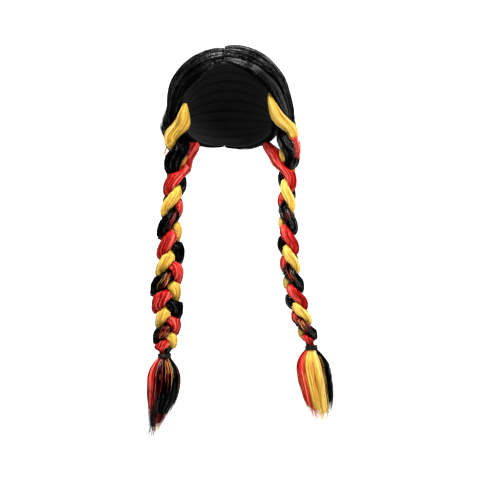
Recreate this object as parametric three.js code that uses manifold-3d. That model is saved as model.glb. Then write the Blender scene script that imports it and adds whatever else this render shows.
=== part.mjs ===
// A pigtail wig: a stretch cap with black hair parted in the middle, drawn to a gather behind each
// ear, and a three-strand plait of black, red and yellow hair that hangs from each gather to an
// elastic tie and a loose tail.
//
// Millimetres. +Z is up, -Y is the wearer's front, +X the wearer's left. The origin is the top of
// the hollow, where the crown of the head touches the cap.
import * as THREE from "three";
import { mergeVertices } from "three/addons/utils/BufferGeometryUtils.js";
import Module from "manifold-3d";

const wasm = await Module();
wasm.setup();

// Driving sizes
const clearance = 0.4;

const head = { halfBreadth: 77, front: 90, back: 100, crown: 92, nape: 105 };

const cap = { wall: 1.5, frontAngle: 45, napeAngle: 212, sideReach: 0.8 };

const parting = { shift: -6, halfGap: 0.8, shoulder: 26, edge: 1.5 };

const strip = { width: 11, wall: 1, frontInset: 1.5, backAngle: 150 };

const hair = {
  seatGap: 1.2,
  front: 97,
  back: 117,
  nape: 116,
  frontEdge: 6,
  edgeSpan: 34,
  ridges: 5,
  ridgeDepth: 1.5,
  gatherStart: 0.58,
  gatherFrontAngle: -66,
  gatherBackAngle: 130,
  gatherWall: 4.5,
  gatherTuck: 0.28,
  gatherRise: 10,
  gatherDrop: 12,
  gatherSize: 0.55,
};

// The plait: how far its strands weave out and in, and their own half sizes. Squareness says how
// flat a strand lies against its neighbours.
const plait = {
  weaveWidth: 9.5,
  weaveDepth: 6,
  strandWidth: 15.5,
  strandDepth: 11.5,
  topGirth: 1.25,
  topRun: 100,
  crossingPitch: 43,
  pitchLoss: 1.85,
  crossingPhase: 55,
  neckRun: 16,
  neck: 0.4,
  neckDepth: 0.48,
  rootSize: 0.12,
  squareness: 10,
  gap: 0.6,
};

const tie = { wraps: 3, cord: 2.4, clearance: 1.05, grip: 0.75 };

// The tail: its half width at the tie as a share of the tie's hole, how it opens below, and how
// far its locks spread and flatten.
const tail = {
  neck: 0.86,
  openFrom: 0.035,
  openBy: 0.24,
  closeFrom: 0.4,
  spread: 0.8,
  flatness: 0.85,
  swingTo: 1.1,
};

// What sets the two sides apart. The gather is where the plait starts; the splay is how far its
// end hangs out from there, and the turns say how far its flat face looks inwards, in degrees.
const sides = {
  left: {
    sign: -1,
    gather: { x: -87, y: 6, z: -118 },
    crownLift: 7,
    halfBreadth: 102,
    pinch: 8,
    length: 373.5,
    firstCrossing: -2,
    splay: 14.5,
    forward: 62,
    topTurn: 95,
    endTurn: 18,
    girth: 1.0,
    tailLength: 128,
    tailHalfWidth: 28,
    tailHalfDepth: 20,
    tailSwing: -18,
    swingStart: 0.3,
    tailClosing: 0.4,
    tailTaper: 0.55,
  },
  right: {
    sign: 1,
    gather: { x: 92, y: 6, z: -118 },
    crownLift: 11.5,
    halfBreadth: 102,
    pinch: 0,
    length: 360.5,
    firstCrossing: -12,
    splay: 40.5,
    forward: 62,
    topTurn: 85,
    endTurn: 62,
    girth: 0.84,
    tailLength: 116,
    tailHalfWidth: 27.5,
    tailHalfDepth: 20,
    tailSwing: 17,
    swingStart: 0,
    tailClosing: 0.15,
    tailTaper: 0.3,
  },
};

// How each plait hangs: shares of its length, of its splay, of its forward reach and of its girth.
const hang = {
  left: [
    { at: 0, out: 0, ahead: 0, girth: 1 },
    { at: 0.2, out: -0.1, ahead: 0.2, girth: 0.94 },
    { at: 0.42, out: 0.45, ahead: 0.54, girth: 0.88 },
    { at: 0.53, out: 0.38, ahead: 0.7, girth: 0.88 },
    { at: 0.74, out: 0.75, ahead: 0.9, girth: 1 },
    { at: 0.87, out: 0.67, ahead: 0.96, girth: 0.86 },
    { at: 1, out: 1, ahead: 1, girth: 0.72 },
  ],
  right: [
    { at: 0, out: 0.1, ahead: 0, girth: 1 },
    { at: 0.14, out: 0.16, ahead: 0.14, girth: 0.96 },
    { at: 0.26, out: 0.1, ahead: 0.28, girth: 0.92 },
    { at: 0.42, out: 0.07, ahead: 0.54, girth: 0.92 },
    { at: 0.55, out: 0.12, ahead: 0.72, girth: 0.94 },
    { at: 0.73, out: 0.29, ahead: 0.88, girth: 0.92 },
    { at: 0.87, out: 0.63, ahead: 0.96, girth: 0.88 },
    { at: 1, out: 1, ahead: 1, girth: 0.76 },
  ],
};

// The three colours in the order that they cross. A root is where a strand leaves the cap: its
// drop below the crown and its place as shares of the head's half breadth, and of its front
// (negative) or back. Run is the length over which it joins the plait.
const strands = {
  yellow: {
    turn: 0,
    size: 0.84,
    colour: 0xf0c22e,
    root: {
      left: { drop: 88, out: 0.9, along: -0.44, run: 50 },
      right: { drop: 72, out: 0.86, along: -0.47, run: 62 },
    },
  },
  black: {
    turn: 1,
    size: 1.12,
    colour: 0x0c0c0e,
    root: {
      left: { drop: 106, out: 1.1, along: 0.16, run: 42 },
      right: { drop: 106, out: 1.14, along: 0.16, run: 42 },
    },
  },
  red: {
    turn: 2,
    size: 1.0,
    colour: 0xc81414,
    root: {
      left: { drop: 128, out: 0.7, along: 0.76, run: 82 },
      right: { drop: 128, out: 0.76, along: 0.72, run: 76 },
    },
  },
};

// The locks of each loose tail. Across and deep are shares of the tail's half width and depth,
// reach is a share of its length, and size a share of its half width.
const tailLocks = {
  left: [
    { colour: "red", across: -0.74, deep: -0.2, reach: 0.72, size: 0.4 },
    { colour: "red", across: -0.4, deep: -0.62, reach: 0.64, size: 0.28 },
    { colour: "black", across: -0.3, deep: 0.15, reach: 1, size: 0.5 },
    { colour: "black", across: 0.16, deep: -0.4, reach: 0.93, size: 0.48 },
    { colour: "black", across: 0.58, deep: 0, reach: 0.84, size: 0.46 },
    { colour: "yellow", across: 0.15, deep: 0.72, reach: 0.92, size: 0.36 },
    { colour: "yellow", across: 0.5, deep: 0.6, reach: 0.8, size: 0.3 },
  ],
  right: [
    { colour: "red", across: -0.72, deep: -0.1, reach: 0.93, size: 0.4 },
    { colour: "red", across: -0.44, deep: 0.42, reach: 0.98, size: 0.4 },
    { colour: "yellow", across: -0.18, deep: -0.44, reach: 0.95, size: 0.4 },
    { colour: "yellow", across: 0.2, deep: -0.4, reach: 1, size: 0.42 },
    { colour: "black", across: 0.68, deep: 0, reach: 0.86, size: 0.4 },
    { colour: "black", across: 0.3, deep: 0.5, reach: 0.94, size: 0.42 },
  ],
};

// Mesh fineness: how many sections and corners
const fineness = {
  sagittal: 15,
  across: 10,
  perCrossing: 6,
  strandCorners: 7,
  lockSections: [0, 0.04, 0.1, 0.2, 0.36, 0.56, 0.76, 0.92, 1],
  lockCorners: 6,
  tieCorners: 12,
};

const degrees = Math.PI / 180;
const colourNames = Object.keys(strands);

// Eases from 0 to 1 as x goes from low to high.
const ease = (x, low, high) => THREE.MathUtils.smoothstep(x, low, high);

// A quarter circle from 0 to 1, for an edge that rounds up to its full height.
function roundUp(x) {
  const left = 1 - THREE.MathUtils.clamp(x, 0, 1);
  return Math.sqrt(1 - left * left);
}

// One column of a table at a place between its rows, on a smooth cubic through them.
function readColumn(table, key, at) {
  const last = table.length - 1;
  const slope = (i) => {
    const before = table[Math.max(i - 1, 0)];
    const after = table[Math.min(i + 1, last)];
    return (after[key] - before[key]) / (after.at - before.at);
  };
  const place = THREE.MathUtils.clamp(at, 0, 1);
  let i = 0;
  while (i < last - 1 && place > table[i + 1].at) i += 1;
  const from = table[i];
  const to = table[i + 1];
  const span = to.at - from.at;
  const t = (place - from.at) / span;
  return (
    from[key] * (1 + 2 * t) * (1 - t) ** 2 +
    slope(i) * span * t * (1 - t) ** 2 +
    to[key] * t * t * (3 - 2 * t) +
    slope(i + 1) * span * t * t * (t - 1)
  );
}

// Solids from surfaces

function toSolid(geometry) {
  const plain = new THREE.BufferGeometry();
  plain.setAttribute("position", geometry.getAttribute("position"));
  plain.setIndex(geometry.getIndex());
  const merged = mergeVertices(plain, 1e-4);
  const mesh = new wasm.Mesh({
    numProp: 3,
    vertProperties: new Float32Array(merged.attributes.position.array),
    triVerts: new Uint32Array(merged.index.array),
  });
  return new wasm.Manifold(mesh);
}

function toGeometry(solid) {
  const mesh = solid.getMesh();
  const geometry = new THREE.BufferGeometry();
  geometry.setAttribute("position", new THREE.BufferAttribute(mesh.vertProperties, 3));
  geometry.setIndex(new THREE.BufferAttribute(mesh.triVerts, 1));
  geometry.computeVertexNormals();
  return geometry;
}

// The main body of a cut solid, without the slivers that the cuts leave loose.
function largestBody(solid) {
  return solid.decompose().sort((a, b) => b.volume() - a.volume())[0];
}

// A closed surface with its faces outwards, whichever way round its grid was walked.
function closedGeometry(points, faces) {
  let volume = 0;
  for (const [a, b, c] of faces) {
    volume += points[a].dot(new THREE.Vector3().crossVectors(points[b], points[c]));
  }
  const outward = volume > 0 ? faces : faces.map(([a, b, c]) => [a, c, b]);
  const geometry = new THREE.BufferGeometry().setFromPoints(points);
  geometry.setIndex(outward.flat());
  return geometry;
}

// A wall between two like grids of points, closed by a rim on all four edges.
function wallBetween(inner, outer) {
  const rows = inner.length;
  const columns = inner[0].length;
  const points = [...outer.flat(), ...inner.flat()];
  const out = (i, j) => i * columns + j;
  const inn = (i, j) => (rows + i) * columns + j;
  const faces = [];
  const quad = (a, b, c, d) => faces.push([a, b, c], [a, c, d]);
  for (let i = 0; i < rows - 1; i += 1) {
    for (let j = 0; j < columns - 1; j += 1) {
      quad(out(i, j), out(i + 1, j), out(i + 1, j + 1), out(i, j + 1));
      quad(inn(i, j), inn(i, j + 1), inn(i + 1, j + 1), inn(i + 1, j));
    }
    quad(out(i, 0), inn(i, 0), inn(i + 1, 0), out(i + 1, 0));
    const end = columns - 1;
    quad(out(i, end), out(i + 1, end), inn(i + 1, end), inn(i, end));
  }
  for (let j = 0; j < columns - 1; j += 1) {
    quad(out(0, j), out(0, j + 1), inn(0, j + 1), inn(0, j));
    const end = rows - 1;
    quad(out(end, j), inn(end, j), inn(end, j + 1), out(end, j + 1));
  }
  return closedGeometry(points, faces);
}

// A stack of rings joined into one closed solid, with a flat cap at each end.
function stackOf(rings) {
  const corners = rings[0].length;
  const points = rings.flat();
  const faces = [];
  rings.slice(1).forEach((ring, i) => {
    for (let k = 0; k < corners; k += 1) {
      const next = (k + 1) % corners;
      const [a, b] = [i * corners + k, i * corners + next];
      faces.push([a, b, b + corners], [a, b + corners, a + corners]);
    }
  });
  const middle = (ring) =>
    ring.reduce((sum, p) => sum.add(p), new THREE.Vector3()).divideScalar(corners);
  const top = points.push(middle(rings[0])) - 1;
  const bottom = points.push(middle(rings[rings.length - 1])) - 1;
  const last = (rings.length - 1) * corners;
  for (let k = 0; k < corners; k += 1) {
    const next = (k + 1) % corners;
    faces.push([top, next, k], [bottom, last + k, last + next]);
  }
  return closedGeometry(points, faces);
}

// The head and the hair's outer form, as distances from the head's middle

const middle = new THREE.Vector3(0, 0, -head.crown);

function formRadius(direction, form) {
  const deep = direction.y < 0 ? form.front : form.back;
  const tall = direction.z > 0 ? form.crown : form.nape;
  return 1 / Math.hypot(direction.x / form.halfBreadth, direction.y / deep, direction.z / tall);
}

function hairForm(side) {
  return {
    halfBreadth: side.halfBreadth,
    front: hair.front,
    back: hair.back,
    crown: head.crown + side.crownLift,
    nape: hair.nape,
  };
}

// Where the parting lies, at an angle from straight ahead, over the crown, to the nape.
function partingDirection(angle) {
  const a = angle * degrees;
  const lean = parting.shift / head.crown;
  return new THREE.Vector3(lean, -Math.cos(a), Math.sin(a)).normalize();
}

const gatherPoint = (side) => new THREE.Vector3(side.gather.x, side.gather.y, side.gather.z);

const gatherDirection = (side) => gatherPoint(side).sub(middle).normalize();

// The way over the head from the parting, at reach 0, to the gather, at reach 1.
function drawnDirection(side, angle, reach) {
  const from = partingDirection(angle);
  const to = gatherDirection(side);
  const between = from.angleTo(to);
  const start = from.multiplyScalar(Math.sin((1 - reach) * between) / Math.sin(between));
  return start.addScaledVector(to, Math.sin(reach * between) / Math.sin(between));
}

const onHead = (direction, lift) =>
  direction.clone().multiplyScalar(formRadius(direction, head) + lift).add(middle);

const sagittalAngles = Array.from({ length: fineness.sagittal + 1 }, (_, i) =>
  THREE.MathUtils.lerp(cap.frontAngle, cap.napeAngle, i / fineness.sagittal),
);

// Shares of the way from the parting to the gather, closer together near the parting.
const acrossShares = Array.from(
  { length: fineness.across + 1 },
  (_, j) => (j / fineness.across) ** 1.25,
);

// The cap: one skin over the head, from ear to ear and from the hairline to the nape
function makeCap() {
  const reaches = acrossShares.filter((_, j) => j % 2 === 0).map((share) => share * cap.sideReach);
  const columns = [
    ...reaches.slice(1).reverse().map((reach) => ({ side: sides.left, reach })),
    ...reaches.map((reach) => ({ side: sides.right, reach })),
  ];
  const grid = (lift) =>
    sagittalAngles.map((angle) =>
      columns.map(({ side, reach }) => onHead(drawnDirection(side, angle, reach), lift)),
    );
  return toSolid(wallBetween(grid(0), grid(cap.wall)));
}

// The parting strip: a skin-coloured ribbon sewn along the top of the cap
function makeStrip() {
  const seat = cap.wall + clearance;
  const insetAngle = strip.frontInset / head.front / degrees;
  const angles = sagittalAngles
    .map((angle) => Math.min(angle, strip.backAngle))
    .filter((angle, i, all) => all.indexOf(angle) === i);
  angles[0] += insetAngle;
  const offsets = [-0.5, -0.17, 0.17, 0.5].map((share) => share * strip.width);
  const grid = (lift) =>
    angles.map((angle) =>
      offsets.map((offset) => {
        const direction = partingDirection(angle);
        direction.x += offset / head.crown;
        return onHead(direction.normalize(), lift);
      }),
    );
  return toSolid(wallBetween(grid(seat), grid(seat + strip.wall)));
}

// The crown hair of one side, drawn from the parting to a half ring round the plait's top
function makeCrownHair(side, ringRadius) {
  const form = hairForm(side);
  const gather = gatherPoint(side);
  const point = (angle, share, layer) => {
    const startReach = parting.halfGap / (head.crown * (Math.PI / 2));
    const reach = THREE.MathUtils.lerp(startReach, 1, share);
    const direction = drawnDirection(side, angle, reach);
    const aside = reach * head.crown * (Math.PI / 2);
    const besideParting = Math.abs(direction.x * head.crown - parting.shift);
    const overStrip = 1 - ease(besideParting, strip.width * 0.5 + 3, strip.width * 0.5 + 12);
    const seat = cap.wall + hair.seatGap + overStrip * (strip.wall + clearance);
    const under = formRadius(direction, head) + seat;
    const span = hair.edgeSpan;
    const fromParting = roundUp(aside / parting.shoulder);
    const fromFront = roundUp((angle - cap.frontAngle) / span);
    const fromNape = roundUp((cap.napeAngle - angle) / span);
    const edge = THREE.MathUtils.lerp(parting.edge, hair.frontEdge, ease(share, 0, 0.3));
    const full = formRadius(direction, form) - under;
    const pinch = side.pinch * Math.exp(-(((reach - 0.8) / 0.1) ** 2));
    const along = (angle - cap.frontAngle) / (cap.napeAngle - cap.frontAngle);
    const wave = Math.cos(2 * Math.PI * hair.ridges * along);
    const ridge = hair.ridgeDepth * ease(share, 0.05, 0.4) * wave;
    const plump = fromParting * fromFront * fromNape;
    const thick = edge + (full - edge - pinch + ridge) * plump;
    const onDome = direction.clone().multiplyScalar(under + layer * thick).add(middle);
    const round =
      THREE.MathUtils.lerp(hair.gatherFrontAngle, hair.gatherBackAngle, along) * degrees;
    const tuck = ease(share, 0.78, 1);
    const ring = (ringRadius + layer * hair.gatherWall) * (1 - hair.gatherTuck * tuck);
    const inRing = new THREE.Vector3(
      gather.x + side.sign * ring * Math.cos(round),
      gather.y + ring * Math.sin(round),
      gather.z + THREE.MathUtils.lerp(hair.gatherRise, -hair.gatherDrop, tuck),
    );
    return onDome.lerp(inRing, ease(share, hair.gatherStart, 1));
  };
  const grid = (layer) =>
    sagittalAngles.map((angle) => acrossShares.map((share) => point(angle, share, layer)));
  return toSolid(wallBetween(grid(0), grid(1)));
}

// Bundles: members that share their cross-section, each kept to its own side of its neighbours

// A ring of corners round a member, flattened where a neighbour of another colour lies close.
function memberRing(member, members, z, corners, swell) {
  const own = member.at(z);
  const below = member.at(z - 1) ?? own;
  const lean = below.centre.clone().sub(own.centre);
  const limits = neighbourLimits(member, members, z);
  const ring = [];
  for (let k = 0; k < corners; k += 1) {
    const angle = (2 * Math.PI * k) / corners;
    const along = new THREE.Vector2(Math.cos(angle), Math.sin(angle));
    const acrossWidth = along.dot(own.axis) / own.width;
    const acrossDepth = along.cross(own.axis) / own.depth;
    const slant = Math.hypot(1, along.dot(lean));
    const full = slant / Math.hypot(acrossWidth, acrossDepth);
    const near = Math.min(
      ...limits.map(({ toward, distance }) => {
        const facing = along.dot(toward);
        return facing > 0.01 ? distance / facing : Infinity;
      }),
    );
    const power = plait.squareness;
    const radius = (full ** -power + near ** -power) ** (-1 / power) + swell;
    ring.push(new THREE.Vector3(own.centre.x + radius * along.x, own.centre.y + radius * along.y, z));
  }
  return ring;
}

// How far a member may reach towards each neighbour, at its own height and between it and the
// next ones, so that the flat faces between two members never meet as they turn.
function neighbourLimits(member, members, z) {
  const limits = [];
  for (const share of [-0.8, -0.65, -0.35, 0, 0.35, 0.65, 0.8]) {
    const height = z + member.beside(z, share);
    const own = member.at(height);
    for (const other of members) {
      const near = other.colour === member.colour ? null : other.at(height);
      if (own === null || near === null) continue;
      const toward = near.centre.clone().sub(own.centre);
      const apart = toward.length();
      const part = own.width / (own.width + near.width);
      limits.push({
        toward: toward.divideScalar(apart),
        distance: Math.max(apart * part - plait.gap / 2, 0.3),
      });
    }
  }
  return limits;
}

// The plaits

// How many crossings lie above a drop below the plait's top. Each is a little shorter than the last.
function crossingsAt(side, drop) {
  const { crossingPitch: pitch, pitchLoss: loss } = plait;
  const left = pitch * pitch - 2 * loss * (drop - side.firstCrossing);
  return (pitch - Math.sqrt(Math.max(left, 0))) / loss;
}

// The inverse: the drop at which a number of crossings lies above.
function dropAt(side, crossings) {
  return side.firstCrossing + crossings * (plait.crossingPitch - (plait.pitchLoss * crossings) / 2);
}

// The heights of the sections of a plait, evenly spread over its crossings.
function plaitLevels(side) {
  const last = Math.ceil(crossingsAt(side, side.length) * fineness.perCrossing);
  const levels = [];
  for (let i = -fineness.perCrossing * 2; i <= last; i += 1) {
    levels.push(side.gather.z - dropAt(side, i / fineness.perCrossing));
  }
  return levels;
}

function plaitSpine(name, z) {
  const side = sides[name];
  const at = (side.gather.z - z) / side.length;
  const out = readColumn(hang[name], "out", at) * side.splay;
  const ahead = readColumn(hang[name], "ahead", at) * side.forward;
  return new THREE.Vector2(side.gather.x + side.sign * out, side.gather.y - ahead);
}

function plaitGirth(name, z) {
  const side = sides[name];
  return side.girth * readColumn(hang[name], "girth", (side.gather.z - z) / side.length);
}

const tieHeight = (side) => side.gather.z - side.length;

function strandAt(name, colour, z) {
  const side = sides[name];
  const strand = strands[colour];
  const root = strand.root[name];
  const drop = side.gather.z - z;
  const turn = THREE.MathUtils.lerp(side.topTurn, side.endTurn, ease(drop / side.length, 0.05, 0.8));
  const outward = new THREE.Vector2(
    side.sign * Math.cos(turn * degrees),
    -Math.sin(turn * degrees),
  );
  const inward = new THREE.Vector2(
    -side.sign * Math.sin(turn * degrees),
    -Math.cos(turn * degrees),
  );
  const toTie = ease(side.length - drop, tie.wraps * tie.cord * tie.grip, plait.neckRun);
  const full = THREE.MathUtils.lerp(plait.topGirth, 1, ease(drop, 0, plait.topRun));
  const slim = THREE.MathUtils.lerp(plait.neck, full, toTie);
  const slimDepth = THREE.MathUtils.lerp(plait.neckDepth, full, toTie);
  const phase = (120 * (crossingsAt(side, drop) - strand.turn) + plait.crossingPhase) * degrees;
  const girth = plaitGirth(name, z);
  const weave = plaitSpine(name, z)
    .addScaledVector(outward, plait.weaveWidth * girth * slim * Math.sin(phase))
    .addScaledVector(inward, plait.weaveDepth * girth * slimDepth * Math.sin(2 * phase));
  const joined = ease(-root.drop - z, 0, root.run);
  const depthScale = root.along < 0 ? head.front : head.back;
  const start = new THREE.Vector2(
    side.sign * root.out * head.halfBreadth,
    root.along * depthScale,
  );
  const swelling = Math.sqrt(ease(-root.drop - z, -1, root.run * 0.8));
  const grown = THREE.MathUtils.lerp(plait.rootSize, 1, swelling);
  return {
    centre: start.lerp(weave, joined),
    axis: outward,
    width: plait.strandWidth * strand.size * girth * slim * grown,
    depth: plait.strandDepth * strand.size * girth * slimDepth * grown,
  };
}

function plaitMembers(name) {
  return colourNames.map((colour) => ({
    colour,
    at: (z) => (z > -strands[colour].root[name].drop ? null : strandAt(name, colour, z)),
    beside: (z, share) => {
      const crossings = crossingsAt(sides[name], sides[name].gather.z - z);
      return (share * (plait.crossingPitch - plait.pitchLoss * crossings)) / fineness.perCrossing;
    },
  }));
}

// One strand from its root on the cap to the middle of the tie.
function makeStrand(name, colour, swell) {
  const side = sides[name];
  const members = plaitMembers(name);
  const member = members.find((each) => each.colour === colour);
  const top = -strands[colour].root[name].drop;
  const bottom = tieHeight(side) + clearance * 0.5;
  const levels = plaitLevels(side).filter((z) => z < top - clearance && z > bottom + clearance);
  const rings = [top, ...levels, bottom].map((z) =>
    memberRing(member, members, z, fineness.strandCorners, swell),
  );
  return toSolid(stackOf(rings));
}

// The head with the cap on it, which the strands' roots lie against
function makeHeadSeat() {
  const sphere = new THREE.SphereGeometry(1, 40, 24);
  const position = sphere.getAttribute("position");
  for (let i = 0; i < position.count; i += 1) {
    const direction = new THREE.Vector3().fromBufferAttribute(position, i).normalize();
    const radius = formRadius(direction, head) + cap.wall + clearance;
    const point = direction.multiplyScalar(radius).add(middle);
    position.setXYZ(i, point.x, point.y, point.z);
  }
  return toSolid(sphere);
}

const tieHole = (name) => {
  const widest = plait.weaveWidth + plait.strandWidth * strands.black.size;
  return plaitGirth(name, tieHeight(sides[name])) * widest * plait.neck + tie.clearance;
};

// The elastic tie: a short stack of cord wraps round the neck of the plait
function makeTie(name) {
  const side = sides[name];
  const inner = tieHole(name);
  const profile = [];
  const height = tie.wraps * tie.cord;
  for (let wrap = 0; wrap < tie.wraps; wrap += 1) {
    for (let k = 0; k <= 3; k += 1) {
      const angle = -Math.PI / 2 + (Math.PI * k) / 3;
      profile.push(
        new THREE.Vector2(
          inner + tie.cord * 0.5 + tie.cord * 0.5 * Math.cos(angle),
          -height / 2 + tie.cord * (wrap + 0.5) + tie.cord * 0.5 * Math.sin(angle),
        ),
      );
    }
  }
  profile.push(new THREE.Vector2(inner, height / 2));
  profile.push(new THREE.Vector2(inner, -height / 2));
  profile.push(profile[0].clone());
  const ring = new THREE.LatheGeometry(profile, fineness.tieCorners);
  ring.rotateX(Math.PI / 2);
  const at = plaitSpine(name, tieHeight(side));
  ring.translate(at.x, at.y, tieHeight(side));
  return toSolid(ring);
}

// The loose tail below the tie

// How far the sections just above and below a share of a lock's length lie from it.
function sectionGaps(share) {
  const sections = fineness.lockSections;
  const above = sections.filter((each) => each < share - 1e-6).pop() ?? share;
  const below = sections.find((each) => each > share + 1e-6) ?? share;
  return { above: share - above, below: below - share };
}

function tailMembers(name) {
  const side = sides[name];
  const top = tieHeight(side) - clearance * 0.5;
  const neck = plaitSpine(name, top);
  return tailLocks[name].map((lock) => ({
    colour: lock.colour,
    reach: lock.reach * side.tailLength,
    beside: (z, share) => {
      const length = lock.reach * side.tailLength;
      const gaps = sectionGaps((top - z) / length);
      return share * length * (share > 0 ? gaps.above : gaps.below);
    },
    at: (z) => {
      const drop = top - z;
      if (drop > lock.reach * side.tailLength + 1e-6) return null;
      const share = drop / side.tailLength;
      const neckShare = (tail.neck * tieHole(name)) / side.tailHalfWidth;
      const open = ease(share, tail.openFrom, tail.openBy);
      const closed = side.tailClosing * ease(share, tail.closeFrom, 1);
      const fan = THREE.MathUtils.lerp(neckShare, 1, open) * (1 - closed);
      const ending = roundUp((lock.reach - share) / (lock.reach * side.tailTaper));
      const size = Math.max(lock.size * side.tailHalfWidth * fan * ending, 0.5);
      const swing = side.tailSwing * ease(share, side.swingStart, tail.swingTo);
      return {
        centre: new THREE.Vector2(
          neck.x + lock.across * side.tailHalfWidth * fan * tail.spread + swing,
          neck.y + lock.deep * side.tailHalfDepth * fan * tail.spread,
        ),
        axis: new THREE.Vector2(1, 0),
        width: size,
        depth: size * tail.flatness,
      };
    },
  }));
}

// One colour of a tail: its locks, fused where they leave the tie.
function makeTail(name, colour) {
  const side = sides[name];
  const members = tailMembers(name);
  const top = tieHeight(side) - clearance * 0.5;
  const locks = members
    .filter((member) => member.colour === colour)
    .map((member) => {
      const rings = fineness.lockSections.map((share) =>
        memberRing(member, members, top - member.reach * share, fineness.lockCorners, 0),
      );
      return toSolid(stackOf(rings));
    });
  return locks.reduce((all, lock) => all.add(lock));
}

// Finish of each piece

const finishes = {
  capNet: { color: 0x141416, roughness: 0.9 },
  scalp: { color: 0xc9a184, roughness: 0.85 },
  elastic: { color: 0x0a0a0a, roughness: 0.7 },
  black: { color: strands.black.colour, roughness: 0.45 },
  red: { color: strands.red.colour, roughness: 0.45 },
  yellow: { color: strands.yellow.colour, roughness: 0.45 },
};

function addPiece(group, name, solid, finish) {
  const material = new THREE.MeshStandardMaterial({ ...finishes[finish], metalness: 0 });
  const mesh = new THREE.Mesh(toGeometry(solid), material);
  mesh.name = name;
  group.add(mesh);
}

const wig = new THREE.Group();
const headSeat = makeHeadSeat();

addPiece(wig, "wig_cap", makeCap(), "capNet");
addPiece(wig, "parting_strip", makeStrip(), "scalp");

for (const [name, side] of Object.entries(sides)) {
  const topWidth = side.girth * plait.topGirth * (plait.weaveWidth + plait.strandWidth);
  const ringRadius = topWidth * hair.gatherSize;
  let crownHair = makeCrownHair(side, ringRadius);
  for (const colour of colourNames) {
    crownHair = crownHair.subtract(makeStrand(name, colour, clearance));
    addPiece(
      wig,
      `plait_${name}_${colour}`,
      makeStrand(name, colour, 0).subtract(headSeat),
      colour,
    );
    addPiece(wig, `tail_${name}_${colour}`, makeTail(name, colour), colour);
  }
  addPiece(wig, `crown_hair_${name}`, largestBody(crownHair.subtract(headSeat)), "black");
  addPiece(wig, `hair_tie_${name}`, makeTie(name), "elastic");
}

export default wig;
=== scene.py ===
import math

import bpy
import numpy as np
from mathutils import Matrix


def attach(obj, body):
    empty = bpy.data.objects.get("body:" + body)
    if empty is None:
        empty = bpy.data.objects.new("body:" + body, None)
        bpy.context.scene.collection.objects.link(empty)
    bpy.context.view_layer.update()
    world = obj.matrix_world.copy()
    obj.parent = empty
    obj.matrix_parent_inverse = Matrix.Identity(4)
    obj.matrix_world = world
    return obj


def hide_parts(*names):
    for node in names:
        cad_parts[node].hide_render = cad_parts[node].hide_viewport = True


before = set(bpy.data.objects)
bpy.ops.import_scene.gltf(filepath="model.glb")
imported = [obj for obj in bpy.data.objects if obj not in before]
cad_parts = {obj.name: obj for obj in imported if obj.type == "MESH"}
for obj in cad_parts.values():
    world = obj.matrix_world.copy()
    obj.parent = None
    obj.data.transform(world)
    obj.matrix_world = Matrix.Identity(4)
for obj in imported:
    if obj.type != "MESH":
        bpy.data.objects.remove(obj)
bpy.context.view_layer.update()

scene = bpy.context.scene


# Camera and studio
# A long lens looks level at the middle of the hanging wig. The studio is a pale floor that curves
# up into a bright wall, with two soft lights high in front, one on each side and one above.
camera = bpy.data.cameras.new("camera")
camera.lens = 100
camera.sensor_width = 36
camera_stand = bpy.data.objects.new("camera", camera)
camera_stand.location = (0.0188, -2.18, -0.3072)
camera_stand.rotation_euler = (math.radians(90), 0, 0)
scene.collection.objects.link(camera_stand)
scene.camera = camera_stand
scene.view_settings.view_transform = "Standard"


def soft_light(name, place, aim, size, watts):
    lamp = bpy.data.lights.new(name, "AREA")
    lamp.shape = "RECTANGLE"
    lamp.size, lamp.size_y = size
    lamp.energy = watts
    stand = bpy.data.objects.new(name, lamp)
    stand.location = place
    towards = np.array(aim, float) - np.array(place, float)
    pitch = math.atan2(math.hypot(towards[0], towards[1]), -towards[2])
    stand.rotation_euler = (pitch, 0, math.atan2(towards[1], towards[0]) - math.pi / 2)
    scene.collection.objects.link(stand)


soft_light("key_light", (0.3, -1.8, 1.1), (0, 0, -0.1), (0.9, 0.35), 60)
soft_light("crown_light", (-0.4, -1.0, 0.9), (-0.02, 0, -0.03), (0.4, 0.12), 22)
soft_light("fill_light", (1.2, -1.6, 0.4), (0, 0, -0.15), (0.5, 0.9), 24)
soft_light("far_light", (-0.9, -1.9, 0.3), (0, 0, -0.2), (0.3, 0.6), 7)
soft_light("top_light", (0.1, -0.5, 1.2), (0, 0, 0), (0.7, 0.4), 14)

world = bpy.data.worlds.new("studio_air")
world.use_nodes = True
world.node_tree.nodes["Background"].inputs["Color"].default_value = (1, 1, 1, 1)
world.node_tree.nodes["Background"].inputs["Strength"].default_value = 0.1
scene.world = world

floor_level, floor_front, floor_end = -1.1, -4.0, 2.0
bend_start, bend_radius, wall_top, backdrop_half = 2.6, 0.9, 3.5, 5.0
backdrop_profile = [(y, floor_level) for y in (floor_front, floor_end, bend_start)]
backdrop_profile += [
    (bend_start + bend_radius * math.sin(a), floor_level + bend_radius * (1 - math.cos(a)))
    for a in np.linspace(0.1, math.pi / 2, 12)
]
backdrop_profile.append((bend_start + bend_radius, wall_top))
backdrop_mesh = bpy.data.meshes.new("studio_floor")
backdrop_mesh.from_pydata(
    [(x, y, z) for y, z in backdrop_profile for x in (-backdrop_half, backdrop_half)],
    [],
    [(2 * i, 2 * i + 1, 2 * i + 3, 2 * i + 2) for i in range(len(backdrop_profile) - 1)],
)
for name, glow in (("studio_floor", 0.12), ("studio_wall", 0.85)):
    backdrop_paint = bpy.data.materials.new(name)
    backdrop_paint.use_nodes = True
    paint = backdrop_paint.node_tree.nodes["Principled BSDF"]
    paint.inputs["Base Color"].default_value = (0.9, 0.9, 0.9, 1)
    paint.inputs["Roughness"].default_value = 1.0
    paint.inputs["Specular IOR Level"].default_value = 0.0
    paint.inputs["Emission Color"].default_value = (1, 1, 1, 1)
    paint.inputs["Emission Strength"].default_value = glow
    backdrop_mesh.materials.append(backdrop_paint)
for face in backdrop_mesh.polygons[1:]:
    face.material_index = 1
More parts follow.
